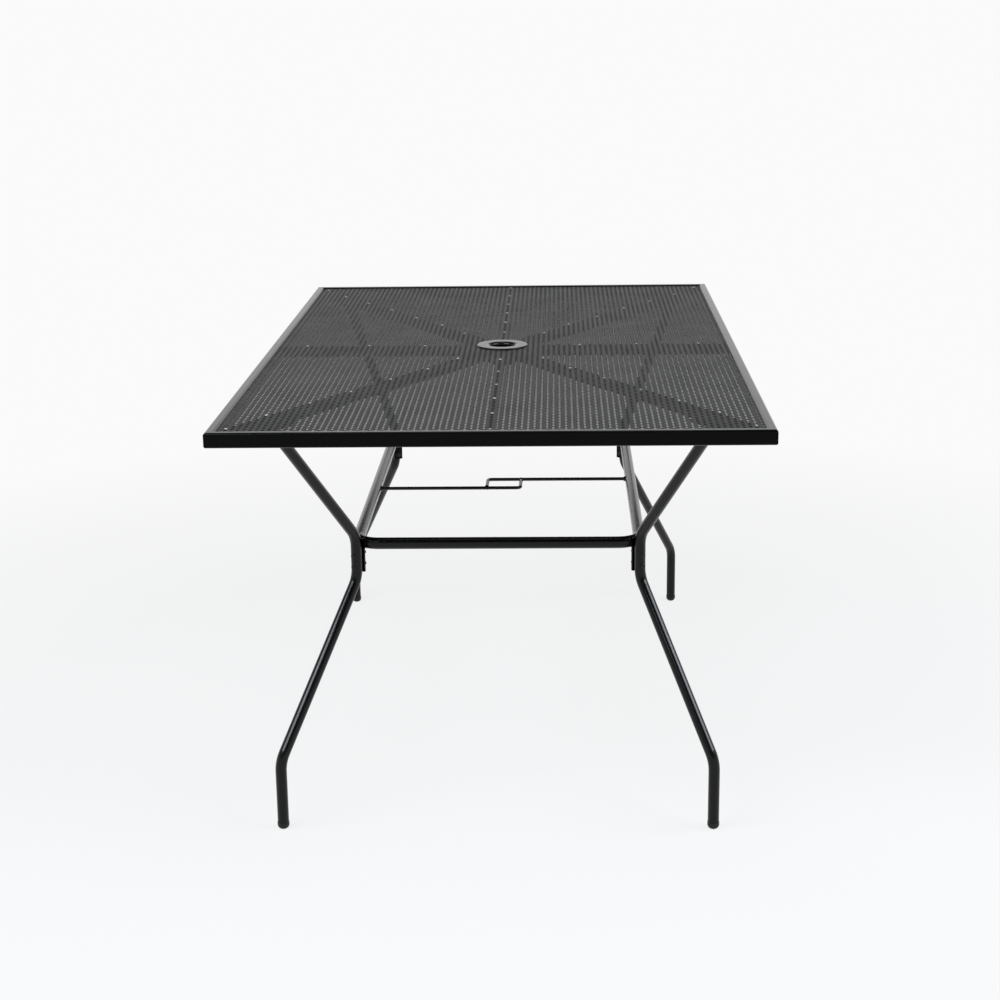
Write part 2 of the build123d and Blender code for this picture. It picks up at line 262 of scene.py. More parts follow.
# The rails' tint of 0.12, far below that of the tubes and the ring, is painted shade that keeps their faces
# black.
frame_coat = powder_coat("frame_powder_coat", coat_dark, coat_light, roughness=0.19, drift=0.03,
                         peel_size=1.6 * MM, peel_depth=0.03 * MM, tint=0.12)
tube_coat = powder_coat("tube_powder_coat", coat_dark, coat_light, roughness=0.22, drift=0.03,
                        peel_size=1.6 * MM, peel_depth=0.03 * MM, tint=0.46)
ring_coat = powder_coat("ring_powder_coat", coat_dark, coat_light, roughness=0.15, drift=0.02,
                        peel_size=1.6 * MM, peel_depth=0.02 * MM, tint=0.46)
sheet_coat = powder_coat("sheet_powder_coat", (0.0040, 0.0042, 0.0046), (0.0075, 0.0078, 0.0085),
                         roughness=0.38, drift=0.05, peel_size=1.2 * MM, peel_depth=0.06 * MM,
                         tint=0.30, index=1.2)
fastener_coat = powder_coat("fastener_black", (0.0040, 0.0040, 0.0042), (0.0090, 0.0090, 0.0095),
                            roughness=0.34, drift=0.06, peel_size=0.8 * MM, peel_depth=0.03 * MM, tint=0.45)

# %% [markdown]
# ## Finish: moulded foot plugs
# The feet end in plugs of black plastic. A mould gives such plastic a fine, dull grain with a softer shine
# than the coat, so the same idea is used with a coarser bump and more roughness, and the grain is a cell
# pattern.

# %% Foot plastic
plastic_tint = 0.5
plastic_clouds = 60.0
cloud_detail = 4.0
grain_strength = 0.4


def moulded_plastic(name, dark, light, roughness, grain_size, grain_depth):
    """Dull black plastic with the pebbled grain of an etched mould."""
    material, tree, shader, where = new_finish(name)
    shader.inputs["Roughness"].default_value = roughness
    shader.inputs["Specular Tint"].default_value = (plastic_tint, plastic_tint, plastic_tint, 1)
    two_tone(tree, shader, noise(tree, where, plastic_clouds, cloud_detail), dark, light)
    grain = place(tree, "ShaderNodeTexVoronoi", Vector=where, Scale=1 / grain_size).outputs["Distance"]
    bump = place(tree, "ShaderNodeBump", Height=grain, Strength=grain_strength, Distance=grain_depth)
    tree.links.new(bump.outputs[0], shader.inputs["Normal"])
    print("finish", name, "roughness", roughness)
    return material


foot_plastic = moulded_plastic("foot_plastic", (0.006, 0.006, 0.0064), (0.010, 0.010, 0.0106),
                               roughness=0.5, grain_size=0.9 * MM, grain_depth=0.05 * MM)

# %% [markdown]
# ## Give the frame its finishes
# The record says which finish slot each frame node belongs to, so one loop can dress them all, and the
# round tubes are picked out by name. Only the material slots change: the shapes and places of the nodes
# stay as they were packed.

# %% Dress the frame nodes
finishes = {
    "frame_coat": frame_coat,
    "mesh_coat": sheet_coat,
    "foot_plastic": foot_plastic,
    "fastener_coat": fastener_coat,
}
round_tubes = ("leg_front", "leg_rear", "end_stretcher", "side_tube", "pole_guide")
for entry in frame["record"]["subparts"]:
    node = frame["nodes"][entry["node"]]
    finish = tube_coat if entry["node"].startswith(round_tubes) else finishes[entry["material_slot"]]
    node.data.materials.clear()
    node.data.materials.append(finish)

# %% [markdown]
# ## The perforated top sheet
# The top is a steel sheet punched all over with round holes in staggered columns, 10 mm apart across the
# table. Cutting thousands of holes out of a plate with booleans is slow and leaves long thin faces. A
# staggered pattern has an easier secret: it is a honeycomb. One six-sided tile with a hole in its middle,
# set on every point of the pattern, joins up into the whole sheet. The sheet is made in four strips along
# its length, so that no piece gets too heavy, and the ends of the pattern are trimmed straight where the
# sheet meets the rim. The webs between the holes are drawn a little thinner than the plain plate that they
# stand for, as a perforated top often is.

# %% Sizes of the pattern
column_pitch = 10.0 * MM
row_pitch = column_pitch * 2 / math.sqrt(3)
hole_diameter = 6.0 * MM
web_thickness = 0.88 * MM
hole_sides = 12
tile_sides = 6
merge_distance = 0.02 * MM
hub_clear_radius = 38.0 * MM
strip_count = 4
edge_columns = math.floor(sheet_half_width / column_pitch)
row_count = 2 * math.ceil(sheet_half_length / row_pitch)
print("columns", 2 * edge_columns + 1, "rows", row_count, "row pitch", round(row_pitch / MM, 3), "mm")


# %% A tree that sets honeycomb tiles on staggered points
def honeycomb_tree():
    """A strip of six-sided tiles, each with a round hole, without those in the hub or past the ends."""
    tree, given, result = new_tree("honeycomb_strip", {
        "First column": int,
        "Columns": int,
        "Rows": int,
        "Column pitch": float,
        "Row pitch": float,
        "Hole radius": float,
        "Hub radius": float,
        "Half length": float,
        "Height": float,
        "Material": bpy.types.Material,
    })
    columns, rows = given["Columns"], given["Rows"]
    pitch, row = given["Column pitch"], given["Row pitch"]
    spread_x = maths(tree, "MULTIPLY", maths(tree, "SUBTRACT", columns, 1.0), pitch)
    spread_y = maths(tree, "MULTIPLY", maths(tree, "SUBTRACT", rows, 1.0), row)
    grid = place(tree, "GeometryNodeMeshGrid", Size_X=spread_x, Size_Y=spread_y,
                 Vertices_X=columns, Vertices_Y=rows)
    middle = maths(tree, "MULTIPLY_ADD", given["First column"], pitch)
    tree.links.new(maths(tree, "DIVIDE", spread_x, 2.0), middle.node.inputs[2])
    shift = place(tree, "ShaderNodeCombineXYZ", X=middle, Z=given["Height"]).outputs[0]
    moved = place(tree, "GeometryNodeSetPosition", Geometry=grid.outputs["Mesh"], Offset=shift)

    position = place(tree, "GeometryNodeInputPosition").outputs[0]
    parts = place(tree, "ShaderNodeSeparateXYZ", Vector=position).outputs
    number = maths(tree, "ROUND", maths(tree, "DIVIDE", parts["X"], pitch))
    odd = maths(tree, "FLOORED_MODULO", number, 2.0)
    half_row = maths(tree, "MULTIPLY", maths(tree, "MULTIPLY", odd, row), 0.5)
    stagger = place(tree, "ShaderNodeCombineXYZ", Y=half_row).outputs[0]
    staggered = place(tree, "GeometryNodeSetPosition", Geometry=moved.outputs[0], Offset=stagger)

    flat = place(tree, "ShaderNodeVectorMath", {"operation": "MULTIPLY"}, i0=position, i1=(1, 1, 0))
    reach = place(tree, "ShaderNodeVectorMath", {"operation": "LENGTH"}, i0=flat.outputs[0]).outputs["Value"]
    in_hub = maths(tree, "LESS_THAN", reach, given["Hub radius"])
    past_end = maths(tree, "GREATER_THAN", maths(tree, "ABSOLUTE", parts["Y"]), given["Half length"])
    unwanted = maths(tree, "MAXIMUM", in_hub, past_end)
    points = place(tree, "GeometryNodeDeleteGeometry", Geometry=staggered.outputs[0], Selection=unwanted)

    rim = place(tree, "GeometryNodeCurvePrimitiveCircle", Resolution=tile_sides)
    tree.links.new(maths(tree, "DIVIDE", row, math.sqrt(3)), rim.inputs["Radius"])
    hole = place(tree, "GeometryNodeCurvePrimitiveCircle", Resolution=hole_sides)
    tree.links.new(given["Hole radius"], hole.inputs["Radius"])
    outline = tree.nodes.new("GeometryNodeJoinGeometry")
    tree.links.new(rim.outputs["Curve"], outline.inputs[0])
    tree.links.new(hole.outputs["Curve"], outline.inputs[0])
    tile = place(tree, "GeometryNodeFillCurve", Curve=outline.outputs[0])

    tiles = place(tree, "GeometryNodeInstanceOnPoints", Points=points.outputs[0], Instance=tile.outputs[0])
    real = place(tree, "GeometryNodeRealizeInstances", Geometry=tiles.outputs[0])
    joined = place(tree, "GeometryNodeMergeByDistance", Geometry=real.outputs[0], Distance=merge_distance)
    finish = place(tree, "GeometryNodeSetMaterial", Geometry=joined.outputs[0], Material=given["Material"])
    tree.links.new(finish.outputs[0], result[0])
    return tree


# %% Trim a strip and give it its thickness
def trimmed(mesh):
    """Cut the honeycomb straight along the edges of the sheet."""
    shape = bmesh.new()
    shape.from_mesh(mesh)
    edges = (
        (Vector((sheet_half_width, 0, 0)), Vector((1, 0, 0))),
        (Vector((-sheet_half_width, 0, 0)), Vector((-1, 0, 0))),
        (Vector((0, sheet_half_length, 0)), Vector((0, 1, 0))),
        (Vector((0, -sheet_half_length, 0)), Vector((0, -1, 0))),
    )
    for point, outward in edges:
        everything = [*shape.verts, *shape.edges, *shape.faces]
        bmesh.ops.bisect_plane(shape, geom=everything, plane_co=point, plane_no=outward, clear_outer=True)
    shape.to_mesh(mesh)
    shape.free()
    return mesh


def thickened(name, mesh, thickness):
    """Thicken a flat sheet downwards and return the closed plate as a plain mesh."""
    host = show(name + ".flat", mesh)
    wall = host.modifiers.new("thickness", "SOLIDIFY")
    wall.thickness = thickness
    wall.offset = -1
    depsgraph = bpy.context.evaluated_depsgraph_get()
    plate = bpy.data.meshes.new_from_object(host.evaluated_get(depsgraph))
    bpy.data.objects.remove(host)
    return plate


# %% Make the four strips
honeycomb = honeycomb_tree()
all_columns = 2 * edge_columns + 1
strip_columns = math.ceil(all_columns / strip_count)
for strip, label in enumerate(("left_outer", "left_inner", "right_inner", "right_outer")):
    first = -edge_columns + strip * strip_columns
    field = grown(
        f"top_sheet_{label}", bpy.data.meshes.new("no_points"), honeycomb,
        First_column=first,
        Columns=min(strip_columns, edge_columns - first + 1),
        Rows=row_count,
        Column_pitch=column_pitch,
        Row_pitch=row_pitch,
        Hole_radius=hole_diameter / 2,
        Hub_radius=hub_clear_radius,
        Half_length=sheet_half_length,
        Height=sheet_high.z,
        Material=sheet_coat,
    )
    plate = thickened(f"top_sheet_{label}", trimmed(field), web_thickness)
    keep(show(f"top_sheet_{label}", plate), "mesh_coat", "mesh_panel")


# %% [markdown]
# ## Spot welds along the braces
# The sheet is welded down to the eight braces every eleven centimetres or so. Each weld fills one hole of
# the pattern and leaves a small button, and the buttons show as a row of specks on the top. Their bright
# grey colour is partly bare metal and partly painted highlight: its brightness stands in for the glints
# that the domes catch from the lamps. The specks are points along each brace, moved to the nearest hole,
# with one low dome set on each by Geometry Nodes. Their finish is that grey, clouded with darker coat.

# %% Weld metal, partly painted glint
metal_share = 0.6
coat_patches = 900.0
patch_detail = 2.0
patch_start = 0.3
patch_end = 0.5
patch_gloss = 0.1


def wear_and_glint_metal(name, coat, bare_and_glint, roughness):
    """Bright metal with patches of dark coat left on it. The bright colour is partly painted glint."""
    material, tree, shader, where = new_finish(name)
    shader.inputs["Metallic"].default_value = metal_share
    patches = noise(tree, where, coat_patches, patch_detail)
    glint_and_wear_mask = place(tree, "ShaderNodeMapRange", Value=patches, From_Min=patch_start, From_Max=patch_end)
    two_tone(tree, shader, glint_and_wear_mask.outputs[0], coat, bare_and_glint)
    gloss = place(tree, "ShaderNodeMapRange", Value=patches,
                  To_Min=roughness + patch_gloss, To_Max=roughness - patch_gloss)
    tree.links.new(gloss.outputs[0], shader.inputs["Roughness"])
    print("finish", name, "roughness", roughness)
    return material


# The bare colour is partly real bare metal and partly painted highlight: its brightness stands in for glints.
weld_wear_and_glint = wear_and_glint_metal("worn_weld_metal", coat=(0.10, 0.10, 0.10), bare_and_glint=(0.56, 0.53, 0.50), roughness=0.4)

# %% Where the spot welds are
first_spot = 150.0 * MM
spot_pitch = 113.5 * MM
spot_radius = 2.4 * MM
spot_rise = 1.3 * MM
spot_seed = 3
smallest_spot = 0.85
largest_spot = 1.1
dome_segments = 12
dome_rings = 7


def nearest_hole(point):
    """The hole of the pattern that lies nearest to a point of the sheet."""
    column = round(point.x / column_pitch)
    stagger = 0.5 * (column % 2) + 0.5 * ((row_count + 1) % 2)
    row = round(point.y / row_pitch - stagger) + stagger
    return Vector((column * column_pitch, row * row_pitch, sheet_high.z))


def reach_to_rim(direction):
    """How far a spoke runs from the table's middle before it meets the rim."""
    across = rim_opening.x / abs(direction.x) if direction.x else math.inf
    along = rim_opening.y / abs(direction.y) if direction.y else math.inf
    return min(across, along)


spot_points = []
for direction in spokes.values():
    count = math.floor((reach_to_rim(direction) - first_spot) / spot_pitch) + 1
    spot_points += [nearest_hole(direction * (first_spot + i * spot_pitch)) for i in range(count)]
print("spot welds:", len(spot_points))


# %% A tree that sets a dome on each point
def dome_tree():
    """A low dome on each point, of slightly uneven size."""
    tree, given, result = new_tree("weld_domes", {
        "Radius": float, "Rise": float, "Seed": int, "Material": bpy.types.Material,
    })
    ball = place(tree, "GeometryNodeMeshUVSphere",
                 Segments=dome_segments, Rings=dome_rings, Radius=given["Radius"])
    squeeze = maths(tree, "DIVIDE", given["Rise"], given["Radius"])
    scale = place(tree, "ShaderNodeCombineXYZ", X=1.0, Y=1.0, Z=squeeze).outputs[0]
    dome = place(tree, "GeometryNodeTransform", Geometry=ball.outputs[0], Scale=scale)
    uneven = place(tree, "FunctionNodeRandomValue", {"data_type": "FLOAT"},
                   i2=smallest_spot, i3=largest_spot, Seed=given["Seed"])
    spots = place(tree, "GeometryNodeInstanceOnPoints", Points=given["Geometry"], Instance=dome.outputs[0])
    tree.links.new(uneven.outputs[1], spots.inputs["Scale"])
    real = place(tree, "GeometryNodeRealizeInstances", Geometry=spots.outputs[0])
    smooth = place(tree, "GeometryNodeSetShadeSmooth", Geometry=real.outputs[0])
    finish = place(tree, "GeometryNodeSetMaterial", Geometry=smooth.outputs[0], Material=given["Material"])
    tree.links.new(finish.outputs[0], result[0])
    return tree


spots = grown(
    "spot_welds", path_mesh("spot_points", [([point], False) for point in spot_points]), dome_tree(),
    Radius=spot_radius, Rise=spot_rise, Seed=spot_seed, Material=weld_wear_and_glint,
)
keep(show("spot_welds", spots), "frame_coat")

# %% [markdown]
# ## Weld beads
# The tubes are joined by hand-laid beads: rings round the tops of the legs and round the umbrella sleeve,
# short runs where each brace meets the rim, four runs where each corner plate holds the loop, and a ring
# where the end of each hooked rod meets the other rod. A bead is a rope of overlapping puddles, so the tree
# sweeps a small circle along each path and lets its size swell and sink with the distance along the path.

# %% How the upper legs slant
waist_rise = 16.0 * MM
plate_low, plate_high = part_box("leg_top_plate_front_left")
corner_low, corner_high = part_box("corner_plate_front_left")
plate_reach = math.hypot((plate_low.x + plate_high.x) / 2, (plate_low.y + plate_high.y) / 2)
corner_plate_reach = math.hypot((corner_low.x + corner_high.x) / 2, (corner_low.y + corner_high.y) / 2)
corner_plate_thickness = 3.0 * MM
waist_reach = corner_plate_reach + corner_plate_thickness / 2 + leg_radius
leg_slant = math.atan2(plate_low.z - loop_height - waist_rise, plate_reach - waist_reach)
print("upper legs rise at", round(math.degrees(leg_slant), 1), "degrees")

# %% Paths of the beads
bead_radius = 1.7 * MM
bead_sides = 8
bead_step = 0.8 * MM
bead_ripple = 0.16
puddle_length = 2.6 * MM
ring_points = 40


def leg_top_ring(corner):
    """The slanted tube of a leg meets its level top plate in an ellipse."""
    low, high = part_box(f"leg_top_plate_{corner}")
    centre = Vector(((low.x + high.x) / 2, (low.y + high.y) / 2, low.z))
    out = diagonals[corner]
    side = Vector((0, 0, 1)).cross(out)
    slant = 1 / math.sin(leg_slant)
    return [centre + out * (leg_radius * slant * math.cos(a)) + side * (leg_radius * math.sin(a))
            for a in full_turn(ring_points)]


def run_to_rim(start, pace, edge):
    """How far a run goes, along one axis, before it meets the rim."""
    return (math.copysign(edge, pace) - start) / pace if pace else math.inf


def brace_end_lines(direction):
    """Two upright runs where the sides of a brace meet the inside of the rim."""
    side = Vector((0, 0, 1)).cross(direction)
    heights = (brace_low.z + bead_radius, brace_high.z - bead_radius)
    lines = []
    for sign in (-1, 1):
        edge = side * (sign * brace_half_width)
        across = run_to_rim(edge.x, direction.x, rim_opening.x)
        along = run_to_rim(edge.y, direction.y, rim_opening.y)
        foot = edge + direction * min(across, along)
        lines.append(([Vector((foot.x, foot.y, height)) for height in heights], False))
    return lines


def corner_plate_lines(corner):
    """Level runs above and below the loop's bend, and upright runs at the two edges of its corner plate."""
    out = diagonals[corner]
    side = Vector((0, 0, 1)).cross(out)
    face = corner_plate_reach - corner_plate_thickness / 2
    rise = 2 * math.sqrt(loop_radius * bead_radius)
    half_run = 8.0 * MM
    half_climb = 6.5 * MM
    edge = 10.4 * MM
    sunk = 0.3 * MM
    up = Vector((0, 0, half_climb))
    lines = []
    for sign in (-1, 1):
        level = out * (face - bead_radius) + Vector((0, 0, loop_height + sign * rise))
        lines.append(([level - side * half_run, level + side * half_run], False))
        upright = out * (face - sunk) + side * (sign * edge) + Vector((0, 0, loop_height))
        lines.append(([upright - up, upright + up], False))
    return lines


rod_radius = 3.25 * MM
rod_offset = 33.0 * MM
rod_ring_points = 16
rod_ring_shift = 0.8 * MM


def hook_ring(sign):
    """A ring where the end of one hooked rod meets the side of the other."""
    centre = Vector((-sign * rod_offset, -sign * (rod_offset - rod_radius), loop_height))
    return [centre + Vector((rod_radius * math.cos(a), sign * rod_ring_shift, rod_radius * math.sin(a)))
            for a in full_turn(rod_ring_points)]


def sleeve_ring():
    """A level ring round the sleeve, under the hub plate."""
    return [Vector((sleeve_high.x * math.cos(a), sleeve_high.x * math.sin(a), hub_low.z))
            for a in full_turn(ring_points)]


bead_paths = [(leg_top_ring(corner), True) for corner in CORNERS] + [(sleeve_ring(), True)]
bead_paths += [(hook_ring(sign), True) for sign in (-1, 1)]
for direction in spokes.values():
    bead_paths += brace_end_lines(direction)
for corner in CORNERS:
    bead_paths += corner_plate_lines(corner)
print("weld beads:", len(bead_paths))


# %% A tree that lays a rippled bead along each path
def bead_tree():
    """A small circle swept along each path, swelling once for each puddle of the weld."""
    tree, given, result = new_tree("weld_bead", {
        "Radius": float, "Step": float, "Ripple": float, "Puddle": float, "Material": bpy.types.Material,
    })
    path = place(tree, "GeometryNodeMeshToCurve", Mesh=given["Geometry"])
    fine = place(tree, "GeometryNodeResampleCurve", {"mode": "LENGTH"},
                 Curve=path.outputs[0], Length=given["Step"])
    walked = place(tree, "GeometryNodeSplineParameter").outputs["Length"]
    phase = maths(tree, "MULTIPLY", maths(tree, "DIVIDE", walked, given["Puddle"]), 2 * math.pi)
    wave = maths(tree, "MULTIPLY", maths(tree, "SINE", phase), given["Ripple"])
    swell = maths(tree, "ADD", wave, 1.0)
    profile = place(tree, "GeometryNodeCurvePrimitiveCircle", Resolution=bead_sides, Radius=given["Radius"])
    bead = place(tree, "GeometryNodeCurveToMesh", Curve=fine.outputs[0], Profile_Curve=profile.outputs[0],
                 Scale=swell, Fill_Caps=True)
    real = place(tree, "GeometryNodeRealizeInstances", Geometry=bead.outputs[0])
    smooth = place(tree, "GeometryNodeSetShadeSmooth", Geometry=real.outputs[0])
    finish = place(tree, "GeometryNodeSetMaterial", Geometry=smooth.outputs[0], Material=given["Material"])
    tree.links.new(finish.outputs[0], result[0])
    return tree


beads = grown(
    "weld_beads", path_mesh("bead_paths", bead_paths), bead_tree(),
    Radius=bead_radius, Step=bead_step, Ripple=bead_ripple, Puddle=puddle_length, Material=frame_coat,
)
keep(show("weld_beads", beads), "frame_coat")

# %% [markdown]
# ## The umbrella ring and its throat
# The flat ring on the sheet turns down into its sleeve in a smooth curve, so that a pole does not scrape on
# a sharp corner. The curve shows as a dark line and two small glints at the far side of the hole. A turned
# shape like this is one outline spun about the hole's axis, so ring, throat and sleeve are worked out
# together.

# %% Spin the ring and its sleeve
def lathe(name, rings):
    """Join closed outlines, one for each angle about an axis, into a skin with its faces outward."""
    size = len(rings[0])
    faces = []
    for i in range(len(rings)):
        j = (i + 1) % len(rings)
        for k in range(size):
            m = (k + 1) % size
            faces.append((i * size + k, j * size + k, j * size + m, i * size + m))
    mesh = bpy.data.meshes.new(name)
    mesh.from_pydata([point for ring in rings for point in ring], [], faces)
    shape = bmesh.new()
    shape.from_mesh(mesh)
    bmesh.ops.recalc_face_normals(shape, faces=shape.faces)
    shape.to_mesh(mesh)
    shape.free()
    return mesh


ring_low, ring_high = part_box("umbrella_ring")
ring_edge = 1.2 * MM
throat_curve = 5.5 * MM
sleeve_wall = 2.0 * MM
bore_radius = sleeve_high.x - sleeve_wall
curve_steps = 8
ring_sides = 96
crease_angle = math.radians(40)

outline = [(sleeve_high.x, sleeve_low.z), (sleeve_high.x, ring_low.z), (ring_high.x, ring_low.z)]
for a in quarter_turn(curve_steps):
    radius = ring_high.x - ring_edge * (1 - math.cos(a))
    outline.append((radius, ring_high.z - ring_edge * (1 - math.sin(a))))
for a in reversed(quarter_turn(curve_steps)):
    radius = bore_radius + throat_curve * (1 - math.cos(a))
    outline.append((radius, ring_high.z - throat_curve * (1 - math.sin(a))))
outline.append((bore_radius, sleeve_low.z))
rings = [[(r * math.cos(t), r * math.sin(t), z) for r, z in outline] for t in full_turn(ring_sides)]
ring_mesh = lathe("umbrella_throat", rings)
ring_mesh.polygons.foreach_set("use_smooth", [True] * len(ring_mesh.polygons))
ring_mesh.set_sharp_from_angle(angle=crease_angle)
ring_mesh.materials.append(ring_coat)
keep(show("umbrella_throat", ring_mesh), "frame_coat", "umbrella_ring", "umbrella_sleeve")

# %% [markdown]
# ## Flanged nuts and bolt heads
# The waists and the leg plates are held by small flanged hexagon fasteners. The frame has plain six-sided
# blocks there. A real nut has its corners turned off by a cone at each end, which leaves curved edges on
# its six sides, and a round flange under it, and the threaded end of its bolt stands out of it. That shape
# is worked out point by point round the axis, and Geometry Nodes set it on each place, turned to its own
# direction.

# %% The shape of one flanged fastener
thread_root = 0.05 * MM
thread_crest = 0.35 * MM
tip_inset = 0.6 * MM
tip_height = 0.2 * MM


def thread_profile(start, tail, radius, pitch):
    """The zigzag outline of a threaded end, as radius and height, with its tip turned down."""
    outline = []
    for turn in range(round(tail / pitch)):
        outline.append((radius + thread_root, start + turn * pitch))
        outline.append((radius + thread_crest, start + (turn + 0.5) * pitch))
    outline.append((radius + thread_root, start + tail))
    outline.append((radius - tip_inset, start + tail + tip_height))
    return outline


def flanged_hexagon(name, flats, height, flange_radius, flange_height, thread):
    """A hexagon with coned ends on a round flange. Its axis is Z and it stands on the flange."""
    around = 48
    axis_radius = 0.1 * MM
    edge_break = 0.3 * MM
    fillet = 0.1 * MM
    flat_radius = flats / 2
    top_radius = 0.95 * flat_radius
    flange_edge = 0.6 * flange_height
    flange_slope = 1.5 * flange_height
    cone = math.tan(math.radians(30))
    rings = []
    for angle in full_turn(around):
        from_flat = (angle + math.pi / 6) % (math.pi / 3) - math.pi / 6
        corner_radius = flat_radius / math.cos(from_flat)
        turned_off = (corner_radius - top_radius) * cone
        profile = [
            (axis_radius, 0),
            (flange_radius - edge_break, 0),
            (flange_radius, edge_break),
            (flange_radius, flange_edge),
            (corner_radius + fillet, flange_slope),
            (corner_radius, height - turned_off),
            (top_radius, height),
            *thread,
        ]
        profile.append((axis_radius, profile[-1][1]))
        rings.append([(r * math.cos(angle), r * math.sin(angle), z) for r, z in profile])
    return lathe(name, rings)


# %% Find the places of the fasteners in the frame
same_point = 0.001 * MM


def solid_boxes(node):
    """The low and high corners of each separate solid in a frame node."""
    shape = bmesh.new()
    shape.from_mesh(frame["nodes"][node].data)
    bmesh.ops.remove_doubles(shape, verts=shape.verts, dist=same_point)
    waiting = set(shape.verts)
    boxes = []
    while waiting:
        front = [waiting.pop()]
        solid = []
        while front:
            vert = front.pop()
            solid.append(vert.co.copy())
            for edge in vert.link_edges:
                other = edge.other_vert(vert)
                if other in waiting:
                    waiting.remove(other)
                    front.append(other)
        low = Vector([min(co[i] for co in solid) for i in range(3)])
        high = Vector([max(co[i] for co in solid) for i in range(3)])
        boxes.append((low, high))
    shape.free()
    return sorted(boxes, key=lambda box: tuple(box[0]))


nut_boxes = solid_boxes("waist_nuts")
bolt_boxes = solid_boxes("top_bolts")
print("waist nuts:", len(nut_boxes), "top bolts:", len(bolt_boxes))


# %% A tree that sets a fastener on each point, along that point's own axis
def fastener_tree():
    """One fastener on each point, turned to the axis that the point carries."""
    tree, given, result = new_tree("set_fasteners", {
        "Fastener": bpy.types.Object, "Material": bpy.types.Material,
    })
    shape = place(tree, "GeometryNodeObjectInfo", Object=given["Fastener"]).outputs["Geometry"]
    axis = place(tree, "GeometryNodeInputNamedAttribute", {"data_type": "FLOAT_VECTOR"}, Name="axis")
    turn = place(tree, "FunctionNodeAlignRotationToVector", {"axis": "Z"}, Vector=axis.outputs[0])
    ones = place(tree, "GeometryNodeInstanceOnPoints", Points=given["Geometry"], Instance=shape)
    tree.links.new(turn.outputs[0], ones.inputs["Rotation"])
    real = place(tree, "GeometryNodeRealizeInstances", Geometry=ones.outputs[0])
    finish = place(tree, "GeometryNodeSetMaterial", Geometry=real.outputs[0], Material=given["Material"])
    tree.links.new(finish.outputs[0], result[0])
    return tree


def placed_points(name, seats):
    """A mesh of single points that carry the direction of the fastener on each."""
    mesh = bpy.data.meshes.new(name)
    mesh.from_pydata([tuple(point) for point, axis in seats], [], [])
    axes = mesh.attributes.new("axis", "FLOAT_VECTOR", "POINT")
    for i, (point, axis) in enumerate(seats):
        axes.data[i].vector = axis
    return mesh


# %% Set the waist nuts and the heads of the top bolts
bolt_radius = 3.0 * MM
nut_flats = 10.0 * MM
nut_height = 5.0 * MM
head_height = 4.0 * MM
flange_radius = 6.4 * MM
flange_height = 1.1 * MM
thread_tail = 7.0 * MM
thread_pitch = 1.0 * MM
set_fasteners = fastener_tree()

nut_seats = []
for low, high in nut_boxes:
    middle = (low + high) / 2
    inward = -Vector((middle.x, middle.y, 0)).normalized()
    nut_seats.append((middle - inward * (nut_height / 2), inward))
nut_thread = thread_profile(nut_height, thread_tail, bolt_radius, thread_pitch)
nut_mesh = flanged_hexagon("nut", nut_flats, nut_height, flange_radius, flange_height, nut_thread)
nut_shape = show("nut_shape", nut_mesh)
nuts = grown("waist_flange_nuts", placed_points("nut_seats", nut_seats), set_fasteners,
             Fastener=nut_shape, Material=fastener_coat)
bpy.data.objects.remove(nut_shape)
keep(show("waist_flange_nuts", nuts), "fastener_coat", "waist_nuts")

head_seats = []
for low, high in bolt_boxes:
    middle = (low + high) / 2
    head_seats.append((Vector((middle.x, middle.y, low.z + head_height)), Vector((0, 0, -1))))
head_mesh = flanged_hexagon("head", nut_flats, head_height, flange_radius, flange_height, [])
head_shape = show("head_shape", head_mesh)
heads = grown("top_bolt_heads", placed_points("head_seats", head_seats), set_fasteners,
              Fastener=head_shape, Material=fastener_coat)
bpy.data.objects.remove(head_shape)
keep(show("top_bolt_heads", heads), "fastener_coat", "top_bolts")

# %% [markdown]
# ## The studio
# The table stands on a plain pale floor that curves up into a low wall all round, like a paper sweep. The
# sweep is one spun profile. It shows white to the eye and in reflections, and near the table it also takes
# a part of the real light, so the table keeps a soft shadow.

# %% Floor and wall
sweep_radius = 7.0
sweep_curve = 1.6
sweep_height = 3.2
sweep_sides = 96
sweep_steps = 8
floor_rings = (1.5, 3.0, sweep_radius - sweep_curve)
sweep_white = (0.956, 0.956, 0.956, 1)
shadow_share = 0.15
shadow_near = 1.0
shadow_far = 2.4
paper_white = (0.76, 0.76, 0.76, 1)


def sweep_mesh():
    """A round floor that curves up into a wall, as one spun profile."""
    profile = [(radius, 0.0) for radius in floor_rings]
    for angle in quarter_turn(sweep_steps)[1:]:
        radius = sweep_radius - sweep_curve * (1 - math.sin(angle))
        profile.append((radius, sweep_curve * (1 - math.cos(angle))))
    profile.append((sweep_radius, sweep_height))
    points, faces = [], []
    for angle in full_turn(sweep_sides):
        points += [(r * math.cos(angle), r * math.sin(angle), z) for r, z in profile]
    points.append((0, 0, 0))
    size = len(profile)
    for i in range(sweep_sides):
        j = (i + 1) % sweep_sides
        faces.append((len(points) - 1, i * size, j * size))
        for k in range(size - 1):
            faces.append((i * size + k, i * size + k + 1, j * size + k + 1, j * size + k))
    mesh = bpy.data.meshes.new("sweep")
    mesh.from_pydata(points, [], faces)
    mesh.polygons.foreach_set("use_smooth", [True] * len(mesh.polygons))
    return mesh


